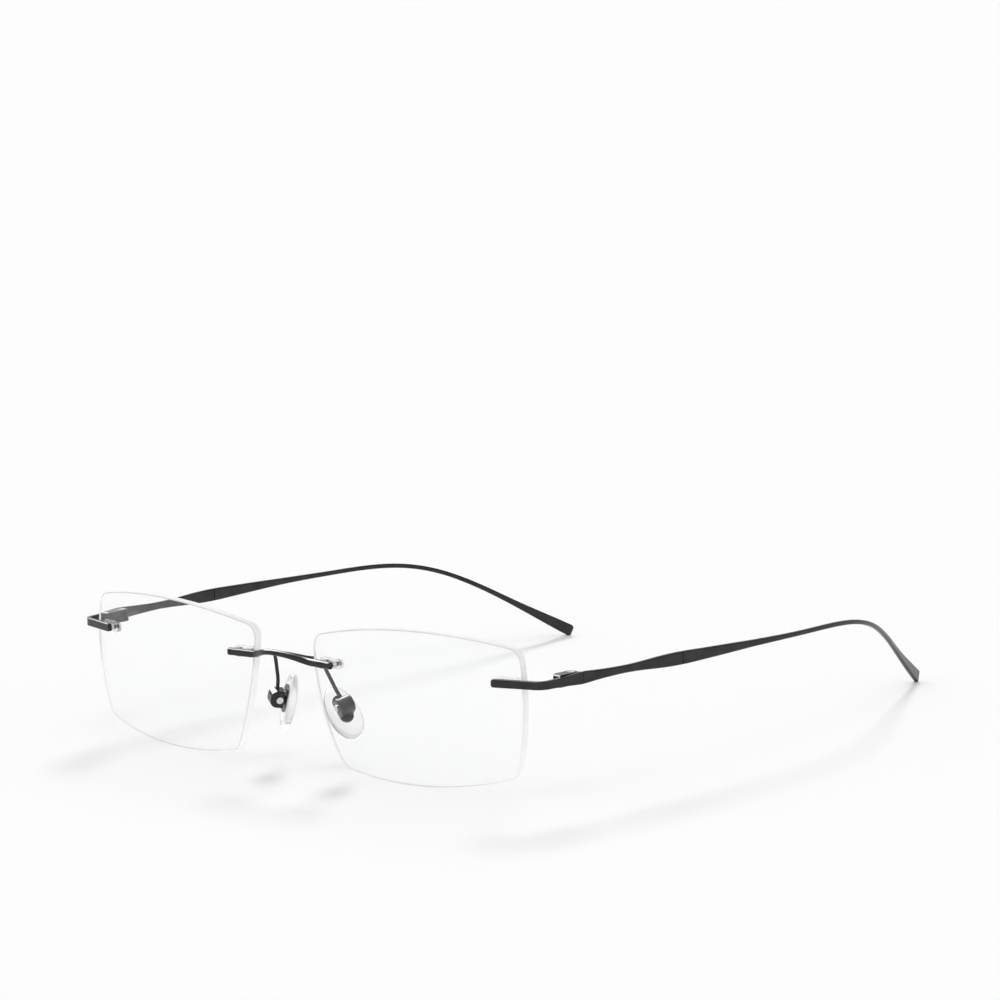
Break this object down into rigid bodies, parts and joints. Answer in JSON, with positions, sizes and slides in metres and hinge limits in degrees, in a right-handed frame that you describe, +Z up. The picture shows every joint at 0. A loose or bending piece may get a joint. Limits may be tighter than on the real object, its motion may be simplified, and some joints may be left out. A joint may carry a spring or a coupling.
{
  "type": "rimless eyeglasses",
  "caption": "Rimless eyeglasses: clear rectangular lenses held by a bridge bar and endpieces, slim folding temples with flat tips, and swivelling clear nose pads.",
  "frame": {"origin": "on the floor under the centre of the bounding box, temples open", "axes": "+X to the wearer's left, -Y out of the front of the lenses, +Y along the open temples, +Z up"},
  "size_m": [0.141, 0.1618, 0.0334],
  "materials": {
    "black_metal": "satin black plated titanium",
    "lens_clear": "clear polished demo lens",
    "clear_plastic": "clear moulded plastic",
    "clear_silicone": "clear soft silicone",
    "bright_screw": "bright steel",
    "nylon": "black nylon"
  },
  "bodies": {
    "front": {"bridge_bar": "black_metal", "lens_left": "lens_clear", "bridge_posts_left": "black_metal", "bridge_sleeve_left": "clear_plastic", "endpiece_left": "black_metal", "endpiece_posts_left": "black_metal", "endpiece_sleeve_left": "clear_plastic", "hinge_block_left": "black_metal", "hinge_screw_left": "bright_screw", "hinge_washers_left": "nylon", "pad_arm_left": "black_metal", "pad_box_left": "black_metal", "pad_screw_left": "bright_screw", "lens_right": "lens_clear", "bridge_posts_right": "black_metal", "bridge_sleeve_right": "clear_plastic", "endpiece_right": "black_metal", "endpiece_posts_right": "black_metal", "endpiece_sleeve_right": "clear_plastic", "hinge_block_right": "black_metal", "hinge_screw_right": "bright_screw", "hinge_washers_right": "nylon", "pad_arm_right": "black_metal", "pad_box_right": "black_metal", "pad_screw_right": "bright_screw"},
    "temple_left": {"temple_blade_left": "black_metal", "temple_rear_left": "black_metal", "hinge_tongue_left": "black_metal"},
    "temple_right": {"temple_blade_right": "black_metal", "temple_rear_right": "black_metal", "hinge_tongue_right": "black_metal"},
    "pad_left": {"nose_pad_left": "clear_silicone", "pad_core_left": "black_metal"},
    "pad_right": {"nose_pad_right": "clear_silicone", "pad_core_right": "black_metal"}
  },
  "joints": [
    {"name": "temple_left_fold", "type": "hinge", "parent": "front", "child": "temple_left", "pos_m": [0.06542, -0.06022, 0.0241], "axis": [0, 0, 1], "range_deg": [0, 88.5]},
    {"name": "temple_right_fold", "type": "hinge", "parent": "front", "child": "temple_right", "pos_m": [-0.06542, -0.06022, 0.0241], "axis": [0, 0, -1], "range_deg": [0, 83]},
    {"name": "pad_left_swivel", "type": "hinge", "parent": "front", "child": "pad_left", "pos_m": [0.0129, -0.07152, 0.0142], "axis": [-0.3743, -0.8882, -0.2665], "range_deg": [-10, 10]},
    {"name": "pad_right_swivel", "type": "hinge", "parent": "front", "child": "pad_right", "pos_m": [-0.0085, -0.07052, 0.0132], "axis": [-0.8282, 0.5244, 0.1978], "range_deg": [-10, 10]}
  ]
}
